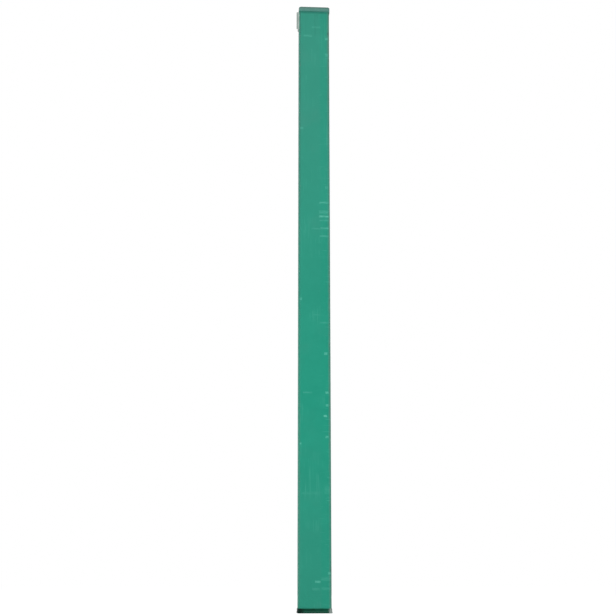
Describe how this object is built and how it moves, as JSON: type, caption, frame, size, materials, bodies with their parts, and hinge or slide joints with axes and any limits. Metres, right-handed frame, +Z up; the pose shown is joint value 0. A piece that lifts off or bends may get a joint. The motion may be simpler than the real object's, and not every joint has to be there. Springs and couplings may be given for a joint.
{
  "type": "fence post",
  "caption": "Upright rectangular steel tube fence post, coated green, with a moulded top cap, a dark foot plug and a small screwed clamp plate that holds a fence panel.",
  "frame": {"origin": "middle of the tube's section, on the face that the post stands on", "axes": "+Z up along the post, -Y out of the wide front face, -X out of the side that carries the clamp plate"},
  "size_m": [0.067, 0.043, 1.1901],
  "materials": {
    "green_coat": "sea green powder coat on steel, satin, scuffed along its edges",
    "cap_plastic": "greyed green moulded plastic, satin",
    "foot_plastic": "very dark green moulded plastic",
    "zinc_plate": "dull zinc on steel",
    "zinc_screw": "bright zinc on steel"
  },
  "bodies": {
    "root": {"post_tube": "green_coat", "top_cap": "cap_plastic", "foot_plug": "foot_plastic", "clamp_plate": "zinc_plate", "clamp_screw": "zinc_screw"}
  },
  "joints": []
}
